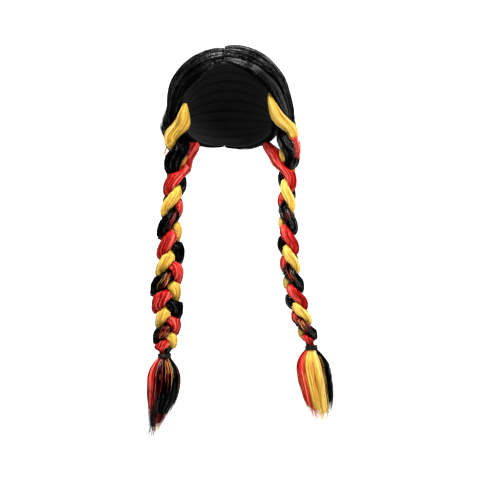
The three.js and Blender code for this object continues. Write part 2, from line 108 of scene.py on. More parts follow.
backdrop = bpy.data.objects.new("studio_floor", backdrop_mesh)
scene.collection.objects.link(backdrop)


# Net cap
# The foundation of the wig: a stretch net skin over the head from ear to ear, with sewn rows that
# carry the hair and a bound edge. Inside it is bare, and the head goes in from below.
head = {"half_breadth": 77, "front": 90, "back": 100, "crown": 92, "nape": 105}
cap_wall = 1.5
front_angle, nape_angle = 45, 212
cap_side_reach = 0.8
parting_shift = -6
gathers = {"left": (-87, 6, -118), "right": (92, 6, -118)}
mm = 0.001


def ease(x, low, high):
    t = np.clip((np.asarray(x, float) - low) / (high - low), 0, 1)
    return t * t * (3 - 2 * t)


def blend_of(a, b, t):
    return a + (b - a) * t


def form_radius(way, form):
    """How far the oval form reaches from the head's middle, along each way."""
    deep = np.where(way[..., 1] < 0, form["front"], form["back"])
    tall = np.where(way[..., 2] > 0, form["crown"], form["nape"])
    return 1 / np.sqrt(
        (way[..., 0] / form["half_breadth"]) ** 2 + (way[..., 1] / deep) ** 2 + (way[..., 2] / tall) ** 2
    )


def unit(v):
    return v / np.linalg.norm(v, axis=-1, keepdims=True)


def parting_way(angle):
    a = np.radians(angle)
    lean = np.full_like(a, parting_shift / head["crown"])
    return unit(np.stack([lean, -np.cos(a), np.sin(a)], -1))


def drawn_way(side, angle, reach):
    """The way over the head from the parting, at reach 0, to the gather, at reach 1."""
    angle, reach = np.broadcast_arrays(np.asarray(angle, float), np.asarray(reach, float))
    start = parting_way(angle)
    end = unit(np.array(gathers[side], float) + (0, 0, head["crown"]))
    between = np.arccos(np.clip(start @ end, -1, 1))
    share = np.sin((1 - reach) * between) / np.sin(between)
    rest = np.sin(reach * between) / np.sin(between)
    return start * share[..., None] + end * rest[..., None]


def over_head(way, lift):
    lift = np.broadcast_to(lift, way.shape[:-1])
    return way * (form_radius(way, head) + lift)[..., None] + (0, 0, -head["crown"])


def closed_mesh(name, points, faces):
    """A mesh in metres whose faces point outwards, with smooth shading."""
    mesh = bpy.data.meshes.new(name)
    mesh.from_pydata((np.asarray(points) * mm).tolist(), [], faces)
    p = np.asarray(points)
    volume = sum(
        np.dot(p[f[0]], np.cross(p[f[k]], p[f[k + 1]])) for f in faces for k in range(1, len(f) - 1)
    )
    if volume < 0:
        mesh.flip_normals()
    mesh.shade_smooth()
    mesh.update()
    return mesh


def wall_faces(rows, columns):
    """Faces of a wall between an outer and an inner grid, with a rim along all four edges."""
    faces = []
    inner = rows * columns
    for i in range(rows - 1):
        for j in range(columns - 1):
            a = i * columns + j
            faces.append((a, a + columns, a + columns + 1, a + 1))
            faces.append((inner + a, inner + a + 1, inner + a + columns + 1, inner + a + columns))
    for i in range(rows - 1):
        for a, b in ((i * columns, (i + 1) * columns), ((i + 2) * columns - 1, (i + 1) * columns - 1)):
            faces.append((a, inner + a, inner + b, b))
    for j in range(columns - 1):
        low, high = j, (rows - 1) * columns + j
        faces.append((low, low + 1, inner + low + 1, inner + low))
        faces.append((high + 1, high, inner + high, inner + high + 1))
    return faces


def note_points(mesh, name, values, kind="FLOAT"):
    """Keeps a value on each point of a mesh, for its material or its nodes to read."""
    layer = mesh.attributes.new(name, kind, "POINT")
    key = "value" if kind == "FLOAT" else "vector"
    layer.data.foreach_set(key, np.ascontiguousarray(values, np.float32).ravel())


def add_piece(name, mesh, finish, nodes=()):
    mesh.materials.clear()
    mesh.materials.append(finish)
    piece = bpy.data.objects.new(name, mesh)
    scene.collection.objects.link(piece)
    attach(piece, "root")
    if nodes:
        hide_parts(*nodes)
    return piece


def new_finish(name, roughness, specular):
    """A material with a plain shader: returns it with its node tree and that shader."""
    finish = bpy.data.materials.new(name)
    finish.use_nodes = True
    shader = finish.node_tree.nodes["Principled BSDF"]
    shader.inputs["Roughness"].default_value = roughness
    shader.inputs["Specular IOR Level"].default_value = specular
    return finish, finish.node_tree, shader


def read_note(tree, name):
    note = tree.nodes.new("ShaderNodeAttribute")
    note.attribute_name = name
    return note


def shade_between(tree, share, dark, light):
    shade = tree.nodes.new("ShaderNodeValToRGB")
    shade.color_ramp.elements[0].color = (*dark, 1)
    shade.color_ramp.elements[1].color = (*light, 1)
    tree.links.new(share, shade.inputs["Fac"])
    return shade.outputs["Color"]


def colour_over(tree, share, under, colour):
    over = tree.nodes.new("ShaderNodeMix")
    over.data_type = "RGBA"
    over.inputs["B"].default_value = (*colour, 1)
    tree.links.new(share, over.inputs["Factor"])
    tree.links.new(under, over.inputs["A"])
    return over.outputs["Result"]


def add_relief(tree, height, shader, strength, distance):
    relief = tree.nodes.new("ShaderNodeBump")
    relief.inputs["Strength"].default_value = strength
    relief.inputs["Distance"].default_value = distance
    tree.links.new(height, relief.inputs["Height"])
    tree.links.new(relief.outputs["Normal"], shader.inputs["Normal"])


def cap_reach(column):
    return ("left", -column) if column < 0 else ("right", column)


cap_rows, cap_columns = 137, 49
row_pitch, row_depth = 9.5, 0.8
edge_rows, edge_share_of_row = 6, 0.5
cap_angles = np.linspace(front_angle, nape_angle, cap_rows)
cap_across = np.linspace(-cap_side_reach, cap_side_reach, cap_columns)
cap_ways = np.stack(
    [drawn_way(side, cap_angles, np.full(cap_rows, reach)) for side, reach in map(cap_reach, cap_across)],
    axis=1,
)
cap_skin = over_head(cap_ways, 0)
rise = np.degrees(np.arctan2(cap_skin[..., 2] - gathers["left"][2], gathers["left"][1] - cap_skin[..., 1]))
sewn_rows = np.maximum(0, np.cos(2 * np.pi * rise / row_pitch)) ** 4
from_rim = np.minimum(np.arange(cap_rows), np.arange(cap_rows)[::-1])[:, None]
edge_bead = edge_share_of_row * (1 - np.minimum(from_rim / edge_rows, 1))
cap_points = np.concatenate(
    [
        over_head(cap_ways, cap_wall).reshape(-1, 3),
        over_head(cap_ways, -row_depth * sewn_rows - row_depth * edge_bead).reshape(-1, 3),
    ]
)
cap_mesh = closed_mesh("wig_cap", cap_points, wall_faces(cap_rows, cap_columns))
cap_lay = np.stack(
    np.broadcast_arrays(cap_across[None, :] * 150, cap_angles[:, None] * 1.6, 0.0), -1
).reshape(-1, 3)
note_points(cap_mesh, "lay", np.concatenate([cap_lay, cap_lay]), "FLOAT_VECTOR")
note_points(cap_mesh, "sewn", np.concatenate([sewn_rows.ravel(), sewn_rows.ravel()]))

cap_net, tree, cloth = new_finish("cap_net", roughness=0.85, specular=0.1)
cloth.inputs["Sheen Weight"].default_value = 0.03
lay = read_note(tree, "lay")
mesh_holes = tree.nodes.new("ShaderNodeMath")
mesh_holes.operation = "MAXIMUM"
for number, axis in enumerate(("X", "Y")):
    threads = tree.nodes.new("ShaderNodeTexWave")
    threads.bands_direction = axis
    threads.inputs["Scale"].default_value = 0.09
    threads.inputs["Distortion"].default_value = 0.6
    threads.inputs["Detail"].default_value = 1.0
    tree.links.new(lay.outputs["Vector"], threads.inputs["Vector"])
    tree.links.new(threads.outputs["Fac"], mesh_holes.inputs[number])
net = mesh_holes.outputs["Value"]
net_shade = shade_between(tree, net, dark=(0.002, 0.002, 0.002), light=(0.014, 0.014, 0.016))
sewn = read_note(tree, "sewn").outputs["Fac"]
weft_shade = colour_over(tree, sewn, net_shade, (0.0012, 0.0012, 0.0014))
tree.links.new(weft_shade, cloth.inputs["Base Color"])
add_relief(tree, net, cloth, strength=0.6, distance=0.0006)
add_piece("wig_cap_net", cap_mesh, cap_net, ["wig_cap"])


# Parting strip
# A narrow skin-coloured ribbon sewn along the top of the cap, which shows between the two halves
# of the hair. Its fine woven grain runs along it.
# Back from its front end the strip is painted near black: partly the dark knotted hair roots, partly painted
# shadow from the hair on each side.
strip_width, strip_wall, strip_seat = 11, 1, 1.9
strip_inset, strip_end = 0.9, 150
strip_angles = np.linspace(front_angle + strip_inset, strip_end, 40)
strip_offsets = np.linspace(-0.5, 0.5, 9) * strip_width
strip_ways = parting_way(strip_angles)[:, None, :] + np.stack(
    [strip_offsets / head["crown"], 0 * strip_offsets, 0 * strip_offsets], -1
)
strip_ways = unit(strip_ways)
strip_points = np.concatenate(
    [
        over_head(strip_ways, strip_seat + strip_wall).reshape(-1, 3),
        over_head(strip_ways, strip_seat).reshape(-1, 3),
    ]
)
strip_mesh = closed_mesh("parting_strip", strip_points, wall_faces(len(strip_angles), len(strip_offsets)))
# Painted shadow and dark roots: 0 at the front end of the strip, rising to 1 a few degrees further back, where
# the strip is painted near black.
roots_and_painted_shadow = np.repeat(ease(strip_angles, front_angle + 3, front_angle + 7), len(strip_offsets))
note_points(strip_mesh, "shadow", np.concatenate([roots_and_painted_shadow, roots_and_painted_shadow]))
scalp, tree, cloth = new_finish("parting_scalp", roughness=0.8, specular=0.5)
place = tree.nodes.new("ShaderNodeTexCoord")
grain = tree.nodes.new("ShaderNodeTexNoise")
grain.inputs["Scale"].default_value = 900
grain.inputs["Detail"].default_value = 3
tree.links.new(place.outputs["Object"], grain.inputs["Vector"])
skin = shade_between(tree, grain.outputs["Fac"], dark=(0.16, 0.12, 0.1), light=(0.5, 0.4, 0.33))
# Painted shadow and dark roots: mixes the skin towards near black wherever the strip lies back from its front
# end.
roots_and_shadow_share = read_note(tree, "shadow").outputs["Fac"]
skin_shade = colour_over(tree, roots_and_shadow_share, skin, (0.004, 0.004, 0.004))
tree.links.new(skin_shade, cloth.inputs["Base Color"])
add_relief(tree, grain.outputs["Fac"], cloth, strength=0.4, distance=0.0003)
add_piece("parting_ribbon", strip_mesh, scalp, ["parting_strip"])


# Crown hair
# Black synthetic hair on each side of the parting, combed down over the head and drawn together
# behind the ear. Each side is a thick combed layer, with long fibres laid on it and a few flyaways.
hair_forms = {
    side: {"half_breadth": 102, "front": 97, "back": 117, "crown": head["crown"] + lift, "nape": 116}
    for side, lift in (("left", 7), ("right", 11.5))
}
signs = {"left": -1, "right": 1}
pinches = {"left": 8, "right": 0}
parting_edges = {"left": 1.5, "right": 3.5}
front_edge, seat_gap, parting_gap, strip_gap = 6, 1.2, 0.25, 0.4
shoulder_span, edge_span = 26, 34
ridge_count, ridge_depth = 5, 1.5
gather_start, tuck_start, gather_tuck = 0.58, 0.78, 0.28
gather_front, gather_back = -66, 130
gather_rise, gather_drop, gather_wall, gather_size = 10, 12, 4.5, 0.55
weave_width, strand_width, top_girth = 9.5, 15.5, 1.25
girths = {"left": 1.0, "right": 0.84}


def round_up(x):
    left = 1 - np.clip(x, 0, 1)
    return np.sqrt(1 - left * left)


def crown_point(side, angle, share, layer, lift=0.0):
    """A point of the crown hair: layer 0 is its underside on the cap and 1 its outer face."""
    angle, share = np.broadcast_arrays(np.asarray(angle, float), np.asarray(share, float))
    arc = head["crown"] * math.pi / 2
    reach = blend_of(parting_gap / arc, 1, share)
    way = drawn_way(side, angle, reach)
    beside = np.abs(way[..., 0] * head["crown"] - parting_shift)
    over_strip = 1 - ease(beside, strip_width * 0.5 + 3, strip_width * 0.5 + 12)
    under = form_radius(way, head) + cap_wall + seat_gap + over_strip * (strip_wall + strip_gap)
    from_edge = np.minimum(angle - front_angle, nape_angle - angle)
    plump = round_up(reach * arc / shoulder_span) * round_up(from_edge / edge_span)
    edge = blend_of(parting_edges[side], front_edge, ease(share, 0, 0.3))
    full = form_radius(way, hair_forms[side]) - under
    pinch = pinches[side] * np.exp(-(((reach - 0.8) / 0.1) ** 2))
    along = (angle - front_angle) / (nape_angle - front_angle)
    ridge = ridge_depth * ease(share, 0.05, 0.4) * np.cos(2 * np.pi * ridge_count * along)
    thick = edge + (full - edge - pinch + ridge) * plump
    on_dome = way * (under + layer * thick + lift)[..., None] + (0, 0, -head["crown"])
    turn = np.radians(blend_of(gather_front, gather_back, along))
    tuck = ease(share, tuck_start, 1)
    bundle = girths[side] * top_girth * (weave_width + strand_width) * gather_size
    ring = (bundle + layer * gather_wall + lift) * (1 - gather_tuck * tuck)
    gather = gathers[side]
    in_ring = np.stack(
        [
            gather[0] + signs[side] * ring * np.cos(turn),
            gather[1] + ring * np.sin(turn),
            gather[2] + blend_of(gather_rise, -gather_drop, tuck),
        ],
        -1,
    )
    return blend_of(on_dome, in_ring, ease(share, gather_start, 1)[..., None])


def wander(draw, steps, count, knots):
    """Slow random wander from -1 to 1 along each of several lines."""
    values = draw.uniform(-1, 1, (knots, count))
    at = np.linspace(0, knots - 1, steps)
    low = np.minimum(at.astype(int), knots - 2)
    t = ease(at - low, 0, 1)[:, None]
    return values[low] * (1 - t) + values[low + 1] * t


def hair_finish(name, stops, roughness, specular, dull_share):
    """Silky fibre: its colour and its shine change from fibre to fibre and along each one."""
    finish, tree, shader = new_finish(name, roughness, specular)
    shader.inputs["Anisotropic"].default_value = 0.75
    shader.inputs["Anisotropic Rotation"].default_value = 0.25
    new, link = tree.nodes.new, tree.links.new
    link(read_note(tree, "flow").outputs["Vector"], shader.inputs["Tangent"])
    streaks = new("ShaderNodeTexNoise")
    streaks.inputs["Scale"].default_value = 0.5
    streaks.inputs["Detail"].default_value = 4
    streaks.inputs["Roughness"].default_value = 0.75
    link(read_note(tree, "lay").outputs["Vector"], streaks.inputs["Vector"])
    centred = new("ShaderNodeMath")
    centred.operation = "MULTIPLY_ADD"
    centred.inputs[1].default_value = 2.6
    centred.inputs[2].default_value = -1.3
    link(streaks.outputs["Fac"], centred.inputs[0])
    mixed = new("ShaderNodeMath")
    mixed.use_clamp = True
    link(centred.outputs["Value"], mixed.inputs[0])
    link(read_note(tree, "tint").outputs["Fac"], mixed.inputs[1])
    shade = new("ShaderNodeValToRGB")
    while len(shade.color_ramp.elements) < len(stops):
        shade.color_ramp.elements.new(0.5)
    for element, (place, colour) in zip(shade.color_ramp.elements, stops):
        element.position = place
        element.color = (*colour, 1)
    link(mixed.outputs["Value"], shade.inputs["Fac"])
    link(shade.outputs["Color"], shader.inputs["Base Color"])
    shine = new("ShaderNodeMapRange")
    shine.inputs["From Min"].default_value = dull_share
    shine.inputs["From Max"].default_value = 1.0
    shine.inputs["To Min"].default_value = specular * 0.02
    shine.inputs["To Max"].default_value = specular
    link(mixed.outputs["Value"], shine.inputs["Value"])
    link(shine.outputs["Result"], shader.inputs["Specular IOR Level"])
    add_relief(tree, streaks.outputs["Fac"], shader, strength=0.6, distance=0.0006)
    return finish


hair_finishes = {
    "black": hair_finish(
        "hair_black",
        [(0.0, (0.0001, 0.0001, 0.0001)), (0.65, (0.0004, 0.0004, 0.0005)), (0.88, (0.0018, 0.0018, 0.0022)),
         (1.0, (0.006, 0.0063, 0.008))],
        roughness=0.2, specular=1.0, dull_share=0.6,
    ),
    "red": hair_finish(
        "hair_red",
        [(0.0, (0.07, 0.001, 0.001)), (0.35, (0.28, 0.005, 0.004)), (0.65, (0.47, 0.018, 0.013)),
         (1.0, (0.76, 0.14, 0.1))],
        roughness=0.34, specular=0.45, dull_share=0.4,
    ),
    "yellow": hair_finish(
        "hair_yellow",
        [(0.0, (0.32, 0.16, 0.02)), (0.35, (0.55, 0.33, 0.045)), (0.65, (0.69, 0.46, 0.08)),
         (1.0, (0.88, 0.69, 0.25))],
        roughness=0.36, specular=0.4, dull_share=0.4,
    ),
}


def fibre_tree():
    """Turns lines into fibres: each line gets its own frizz, a taper and a three-sided body."""
    tree = bpy.data.node_groups.new("hair_fibres", "GeometryNodeTree")
    sockets = {}
    tree.interface.new_socket("Geometry", in_out="INPUT", socket_type="NodeSocketGeometry")
    for name, kind in (
        ("Fibre radius", "NodeSocketFloat"),
        ("Frizz", "NodeSocketFloat"),
        ("Frizz scale", "NodeSocketFloat"),
        ("Seed", "NodeSocketFloat"),
        ("Finish", "NodeSocketMaterial"),
    ):
        item = tree.interface.new_socket(name, in_out="INPUT", socket_type=kind)
        sockets[name] = item.identifier
    tree.interface.new_socket("Geometry", in_out="OUTPUT", socket_type="NodeSocketGeometry")
    node, link = tree.nodes.new, tree.links.new
    given, made = node("NodeGroupInput"), node("NodeGroupOutput")
    lines = node("GeometryNodeMeshToCurve")
    link(given.outputs["Geometry"], lines.inputs["Mesh"])

    wave = node("ShaderNodeTexNoise")
    wave.noise_dimensions = "4D"
    wave.inputs["Detail"].default_value = 1.0
    link(node("GeometryNodeInputPosition").outputs["Position"], wave.inputs["Vector"])
    link(given.outputs["Seed"], wave.inputs["W"])
    link(given.outputs["Frizz scale"], wave.inputs["Scale"])
    centred = node("ShaderNodeVectorMath")
    centred.operation = "SUBTRACT"
    centred.inputs[1].default_value = (0.5, 0.5, 0.5)
    link(wave.outputs["Color"], centred.inputs[0])
    sized = node("ShaderNodeVectorMath")
    sized.operation = "SCALE"
    link(centred.outputs["Vector"], sized.inputs[0])
    link(given.outputs["Frizz"], sized.inputs["Scale"])
    moved = node("GeometryNodeSetPosition")
    link(lines.outputs["Curve"], moved.inputs["Geometry"])
    link(sized.outputs["Vector"], moved.inputs["Offset"])

    girth = node("GeometryNodeInputNamedAttribute")
    girth.data_type = "FLOAT"
    girth.inputs["Name"].default_value = "girth"
    thick = node("ShaderNodeMath")
    thick.operation = "MULTIPLY"
    link(girth.outputs["Attribute"], thick.inputs[0])
    link(given.outputs["Fibre radius"], thick.inputs[1])
    profile = node("GeometryNodeCurvePrimitiveCircle")
    profile.inputs["Resolution"].default_value = 3
    profile.inputs["Radius"].default_value = 1.0
    swept = node("GeometryNodeCurveToMesh")
    swept.inputs["Fill Caps"].default_value = True
    link(moved.outputs["Geometry"], swept.inputs["Curve"])
    link(thick.outputs["Value"], swept.inputs["Scale"])
    link(profile.outputs["Curve"], swept.inputs["Profile Curve"])
    smooth = node("GeometryNodeSetShadeSmooth")
    link(swept.outputs["Mesh"], smooth.inputs["Geometry"])
    real = node("GeometryNodeRealizeInstances")
    link(smooth.outputs["Geometry"], real.inputs["Geometry"])
    finished = node("GeometryNodeSetMaterial")
    link(real.outputs["Geometry"], finished.inputs["Geometry"])
    link(given.outputs["Finish"], finished.inputs["Material"])
    link(finished.outputs["Geometry"], made.inputs["Geometry"])
    return tree, sockets


hair_fibres, fibre_sockets = fibre_tree()


def add_fibres(name, lines, tints, girth, colour, radius=0.45, frizz=0.5, frizz_scale=70, seed=1):
    """Sweeps fibres along lines, an array of (points along, fibres, 3) in millimetres."""
    along, count = lines.shape[:2]
    first = np.arange(count)[:, None] * along + np.arange(along - 1)[None, :]
    edges = np.stack([first.ravel(), first.ravel() + 1], -1)
    mesh = bpy.data.meshes.new(name)
    mesh.from_pydata((lines.transpose(1, 0, 2).reshape(-1, 3) * mm).tolist(), [], [])
    mesh.edges.add(len(edges))
    mesh.edges.foreach_set("vertices", edges.ravel().astype(np.int32))
    mesh.update()
    step = np.gradient(lines, axis=0)
    length = np.linalg.norm(step, axis=-1)
    travelled = np.cumsum(length, axis=0)
    lay = np.stack(
        [np.broadcast_to(np.arange(count) * 7.3 + seed, (along, count)), 0 * travelled, travelled * 0.03], -1
    )
    flow = step / np.maximum(length, 1e-6)[..., None]
    note_points(mesh, "lay", lay.transpose(1, 0, 2).reshape(-1, 3), "FLOAT_VECTOR")
    note_points(mesh, "flow", flow.transpose(1, 0, 2).reshape(-1, 3), "FLOAT_VECTOR")
    note_points(mesh, "tint", np.broadcast_to(tints, (along, count)).T)
    note_points(mesh, "girth", np.broadcast_to(girth, (along, count)).T)
    source = bpy.data.objects.new(name, mesh)
    scene.collection.objects.link(source)
    grow = source.modifiers.new("grow", "NODES")
    grow.node_group = hair_fibres
    grow[fibre_sockets["Fibre radius"]] = radius * mm
    grow[fibre_sockets["Frizz"]] = frizz * mm
    grow[fibre_sockets["Frizz scale"]] = float(frizz_scale)
    grow[fibre_sockets["Seed"]] = float(seed)
    grow[fibre_sockets["Finish"]] = hair_finishes[colour]
    shown = source.evaluated_get(bpy.context.evaluated_depsgraph_get())
    grown = bpy.data.meshes.new_from_object(shown)
    bpy.data.objects.remove(source)
    grown.name = name
    return add_piece(name, grown, hair_finishes[colour])


def clumped(draw, place, spacing, contrast=0.5):
    """A tint for each fibre, so that fibres which lie together look alike and the next ones do not."""
    slots = np.floor(np.asarray(place) / spacing).astype(int)
    of_slot = draw.random(int(slots.max() - slots.min()) + 1)[slots - slots.min()]
    return np.clip(0.5 + (of_slot - 0.5) * 2 * contrast + draw.uniform(-0.2, 0.2, len(slots)), 0, 1)


def taper(steps, start, end):
    """Thins each fibre over a share of its length at its start and its end."""
    t = np.linspace(0, 1, steps)[:, None]
    rise = 1.0 if start == 0 else np.clip(t / start, 0.15, 1)
    fall = 1.0 if end == 0 else np.clip((1 - t) / end, 0.1, 1)
    return np.ones_like(t) * rise * fall


def grid_flow(points):
    """The way that the fibres run, from row to row of a grid of points, as unit vectors."""
    step = np.gradient(points, axis=0)
    return step / np.maximum(np.linalg.norm(step, axis=-1, keepdims=True), 1e-6)


crown_rows, crown_columns = 130, 60
crown_angles = np.linspace(front_angle, nape_angle, crown_rows)
crown_shares = np.linspace(0, 1, crown_columns) ** 1.15


def combed(angle, share):
    """Low ridges that the comb leaves in the layer."""
    waves = (
        0.5 * np.sin(angle * 1.9 + 3 * share)
        + 0.4 * np.sin(angle * 4.3 - 2 * share + 1)
        + 0.3 * np.sin(angle * 8.1 + 2)
    )
    return waves * ease(share, 0.02, 0.25)


def hairline_point(side, angle, share, layer):
    """A point beside the front edge, where the hair falls past the cap over the forehead."""
    edge = crown_point(side, np.maximum(angle, front_angle), share, layer)
    fallen = drawn_way(side, np.minimum(angle, front_angle), share)
    beyond = fallen - drawn_way(side, front_angle + 0 * angle, share)
    return edge + beyond * head["crown"]


for number, side in enumerate(("left", "right")):
    draw = np.random.default_rng(20 + number)
    shares, angles = np.meshgrid(crown_shares, crown_angles, indexing="ij")
    outer = crown_point(side, angles, shares, 1.0, combed(angles, shares) - 0.6)
    inner = crown_point(side, angles, shares, 0.0)
    layer = closed_mesh(
        f"crown_{side}",
        np.concatenate([outer.reshape(-1, 3), inner.reshape(-1, 3)]),
        wall_faces(crown_columns, crown_rows),
    )
    lay = np.stack([angles * 1.5, 0 * angles, shares * 3], -1).reshape(-1, 3)
    note_points(layer, "lay", np.concatenate([lay, lay]), "FLOAT_VECTOR")
    flow = grid_flow(outer).reshape(-1, 3)
    note_points(layer, "flow", np.concatenate([flow, flow]), "FLOAT_VECTOR")
    note_points(layer, "tint", np.full(2 * len(lay), 0.35))
    add_piece(f"crown_{side}_layer", layer, hair_finishes["black"], [f"crown_hair_{side}"])

    fibres, steps = 680, 22
    share = np.linspace(0, 1, steps)[:, None] ** 1.1
    root = draw.uniform(front_angle + 0.2, nape_angle - 0.2, fibres)
    angle = np.clip(root + wander(draw, steps, fibres, 5) * 1.2, front_angle, nape_angle)
    off = 0.1 + 0.5 * wander(draw, steps, fibres, 6) + combed(angle, share)
    add_fibres(
        f"crown_{side}_fibres", crown_point(side, angle, share, 1.0, off), clumped(draw, root, 1.9, 0.62),
        taper(steps, 0.03, 0.05), "black", radius=0.44, seed=3 + number,
    )

    fibres, steps = 110, 26
    share = np.linspace(0.02, 0.93, steps)[:, None]
    root = front_angle + draw.uniform(0, 2, fibres)
    fallen = 11 * draw.uniform(0, 1, fibres) ** 0.8 * np.sin(np.pi * share) ** 0.8
    angle = root - fallen + wander(draw, steps, fibres, 5) * 0.5
    sunk = 0.35 + 0.5 * draw.random(fibres)
    add_fibres(
        f"crown_{side}_hairline", hairline_point(side, angle, share, sunk), clumped(draw, fallen[13], 1.5),
        taper(steps, 0.1, 0.15), "black", radius=0.38, seed=9 + number,
    )

    fibres, steps = 70, 26
    share = draw.uniform(0, 0.5, fibres) + np.linspace(0, 1, steps)[:, None] * draw.uniform(0.2, 0.5, fibres)
    root = draw.uniform(front_angle + 1, nape_angle - 1, fibres)
    angle = np.clip(root + wander(draw, steps, fibres, 4) * 5, front_angle, nape_angle)
    rise = draw.uniform(0.5, 3.5, fibres) * np.sin(np.linspace(0.1, 3, steps))[:, None]
    add_fibres(
        f"crown_{side}_flyaways", crown_point(side, angle, np.clip(share, 0, 1), 1.0, rise + 0.5),
        0.3 + 0.6 * draw.random(fibres), taper(steps, 0.1, 0.5), "black", radius=0.22, frizz=1.5, seed=5,
    )


# Plaits
# Three thick strands on each side, black, red and yellow, crossed over each other down to the
# tie. The yellow starts at the temple, the black at the gather and the red at the nape.
plait_ends = {
    "left": {"length": 373.5, "first": -2, "splay": 14.5, "forward": 62, "turn": (95, 18)},
    "right": {"length": 360.5, "first": -12, "splay": 40.5, "forward": 62, "turn": (85, 62)},
}
hang = {
    "left": {
        "at": (0, 0.2, 0.42, 0.53, 0.74, 0.87, 1),
        "out": (0, -0.1, 0.45, 0.38, 0.75, 0.67, 1),
        "ahead": (0, 0.2, 0.54, 0.7, 0.9, 0.96, 1),
        "girth": (1, 0.94, 0.88, 0.88, 1, 0.86, 0.72),
    },
    "right": {
        "at": (0, 0.14, 0.26, 0.42, 0.55, 0.73, 0.87, 1),
        "out": (0.1, 0.16, 0.1, 0.07, 0.12, 0.29, 0.63, 1),
        "ahead": (0, 0.14, 0.28, 0.54, 0.72, 0.88, 0.96, 1),
        "girth": (1, 0.96, 0.92, 0.92, 0.94, 0.92, 0.88, 0.76),
    },
}
strands = {
    "yellow": {"turn": 0, "size": 0.84, "left": (88, 0.9, -0.44, 50), "right": (72, 0.86, -0.47, 62)},
    "black": {"turn": 1, "size": 1.12, "left": (106, 1.1, 0.16, 42), "right": (106, 1.14, 0.16, 42)},
    "red": {"turn": 2, "size": 1.0, "left": (128, 0.7, 0.76, 82), "right": (128, 0.76, 0.72, 76)},
}
weave_depth, strand_depth, top_run = 6, 11.5, 100
crossing_pitch, pitch_loss, crossing_phase = 43, 1.85, 55
neck_width, neck_depth, neck_run = 0.4, 0.48, 14
tie_wraps, tie_cord, tie_grip = 3, 2.4, 0.75


def read_hang(side, key, at):
    """A smooth cubic through one column of the table of how the plait hangs."""
    x, y = np.array(hang[side]["at"], float), np.array(hang[side][key], float)
    slope = np.empty_like(y)
    slope[1:-1] = (y[2:] - y[:-2]) / (x[2:] - x[:-2])
    slope[0], slope[-1] = (y[1] - y[0]) / (x[1] - x[0]), (y[-1] - y[-2]) / (x[-1] - x[-2])
    at = np.clip(at, 0, 1)
    i = np.clip(np.searchsorted(x, at, side="left") - 1, 0, len(x) - 2)
    span = x[i + 1] - x[i]
    t = (at - x[i]) / span
    return (
        y[i] * (1 + 2 * t) * (1 - t) ** 2 + slope[i] * span * t * (1 - t) ** 2
        + y[i + 1] * t * t * (3 - 2 * t) + slope[i + 1] * span * t * t * (t - 1)
    )


def plait_middle(side, z):
    """Where the middle of the plait is at a height, in the horizontal plane."""
    end, gather = plait_ends[side], gathers[side]
    at = (gather[2] - z) / end["length"]
    return np.stack(
        [
            gather[0] + signs[side] * read_hang(side, "out", at) * end["splay"],
            gather[1] - read_hang(side, "ahead", at) * end["forward"],
        ],
        -1,
    )


def plait_girth(side, z):
    return girths[side] * read_hang(side, "girth", (gathers[side][2] - z) / plait_ends[side]["length"])


def crossings_above(side, z):
    drop = gathers[side][2] - z
    left = crossing_pitch**2 - 2 * pitch_loss * (drop - plait_ends[side]["first"])
    return (crossing_pitch - np.sqrt(np.maximum(left, 0))) / pitch_loss


def height_of(side, crossings):
    drop = plait_ends[side]["first"] + crossings * (crossing_pitch - pitch_loss * crossings / 2)
    return gathers[side][2] - drop


def strand_at(side, colour, z):
    """A strand's middle, the way its width lies, its two half sizes, and whether it is there."""
    z = np.asarray(z, float)
    strand, end, sign = strands[colour], plait_ends[side], signs[side]
    root_drop, root_out, root_along, root_run = strand[side]
    drop = gathers[side][2] - z
    turn = np.radians(blend_of(end["turn"][0], end["turn"][1], ease(drop / end["length"], 0.05, 0.8)))
    outward = np.stack([sign * np.cos(turn), -np.sin(turn)], -1)
    inward = np.stack([-sign * np.sin(turn), -np.cos(turn)], -1)
    to_tie = ease(end["length"] - drop, tie_wraps * tie_cord * tie_grip, neck_run)
    full = blend_of(top_girth, 1, ease(drop, 0, top_run))
    girth = plait_girth(side, z)
    slim = blend_of(neck_width, full, to_tie) * girth
    slim_depth = blend_of(neck_depth, full, to_tie) * girth
    phase = np.radians(120 * (crossings_above(side, z) - strand["turn"]) + crossing_phase)
    woven = (
        plait_middle(side, z)
        + outward * (weave_width * slim * np.sin(phase))[..., None]
        + inward * (weave_depth * slim_depth * np.sin(2 * phase))[..., None]
    )
    joined = ease(-root_drop - z, 0, root_run)
    root = np.array(
        [sign * root_out * head["half_breadth"], root_along * head["front" if root_along < 0 else "back"]]
    )
    grown = blend_of(0.12, 1, np.sqrt(ease(-root_drop - z, -1, root_run * 0.8)))
    return (
        root + (woven - root) * joined[..., None],
        outward,
        strand_width * strand["size"] * slim * grown,
        strand_depth * strand["size"] * slim_depth * grown,
        z <= -root_drop,
    )


